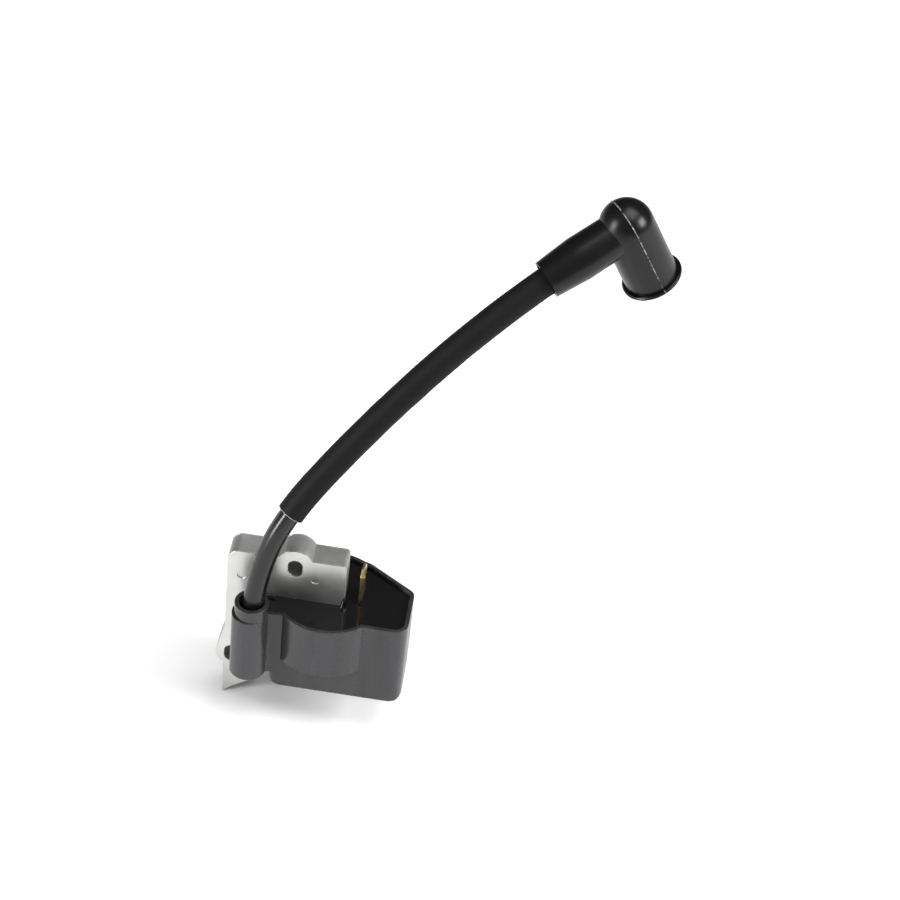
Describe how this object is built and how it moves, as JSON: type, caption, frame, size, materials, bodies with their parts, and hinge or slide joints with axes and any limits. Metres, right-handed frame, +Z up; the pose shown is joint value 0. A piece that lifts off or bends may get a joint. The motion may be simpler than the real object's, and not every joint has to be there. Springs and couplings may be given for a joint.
{
  "type": "ignition coil",
  "caption": "Flywheel ignition coil: laminated U core, potted housing with lead tower, sleeved high tension lead and a turning elbow plug boot.",
  "frame": {"origin": "centre of the upper mounting slot, on the core's rear face, which seats on the engine's boss", "axes": "+Z up, along the lead tower and away from the flywheel; +X right, from the lead tower to the electronics; +Y back, along the mounting screws to the engine's boss"},
  "size_m": [0.1343, 0.0794, 0.1922],
  "materials": {
    "steel": "sheared electrical steel, satin",
    "housing_plastic": "moulded glass-filled nylon, semi-gloss black",
    "epoxy": "cast epoxy, glossy black",
    "bobbin_plastic": "natural nylon",
    "magnet_wire": "enamelled copper wire",
    "board": "glass epoxy board",
    "component_black": "moulded package",
    "component_film": "dipped film",
    "brass": "stamped brass",
    "copper": "bare copper",
    "rubber": "moulded rubber, satin black",
    "lead_pvc": "extruded jacket, satin black",
    "sleeve": "extruded tube, matte black",
    "spring_steel": "bright spring wire"
  },
  "bodies": {
    "module": {"front_lamination": "steel", "lamination_pack": "steel", "rear_lamination": "steel", "housing": "housing_plastic", "potting_compound": "epoxy", "primary_bobbin": "bobbin_plastic", "primary_winding": "magnet_wire", "secondary_bobbin": "bobbin_plastic", "secondary_winding": "magnet_wire", "primary_leads": "magnet_wire", "circuit_board": "board", "power_transistor": "component_black", "control_chip": "component_black", "capacitor": "component_film", "resistors": "component_black", "diode": "component_black", "kill_terminal": "brass", "ground_strap": "brass", "ht_spike": "brass", "ht_link": "copper", "lead_collar": "rubber", "lead_jacket": "lead_pvc", "lead_conductor": "copper", "protective_sleeve": "sleeve"},
    "boot": {"boot_elbow": "rubber", "plug_spring": "spring_steel", "lead_hook": "spring_steel"}
  },
  "joints": [
    {"name": "boot_turn", "type": "hinge", "parent": "module", "child": "boot", "pos_m": [0.08984, 0.04018, 0.11942], "axis": [0.7474, 0.467, 0.4726], "range_deg": [-90, 90]}
  ]
}
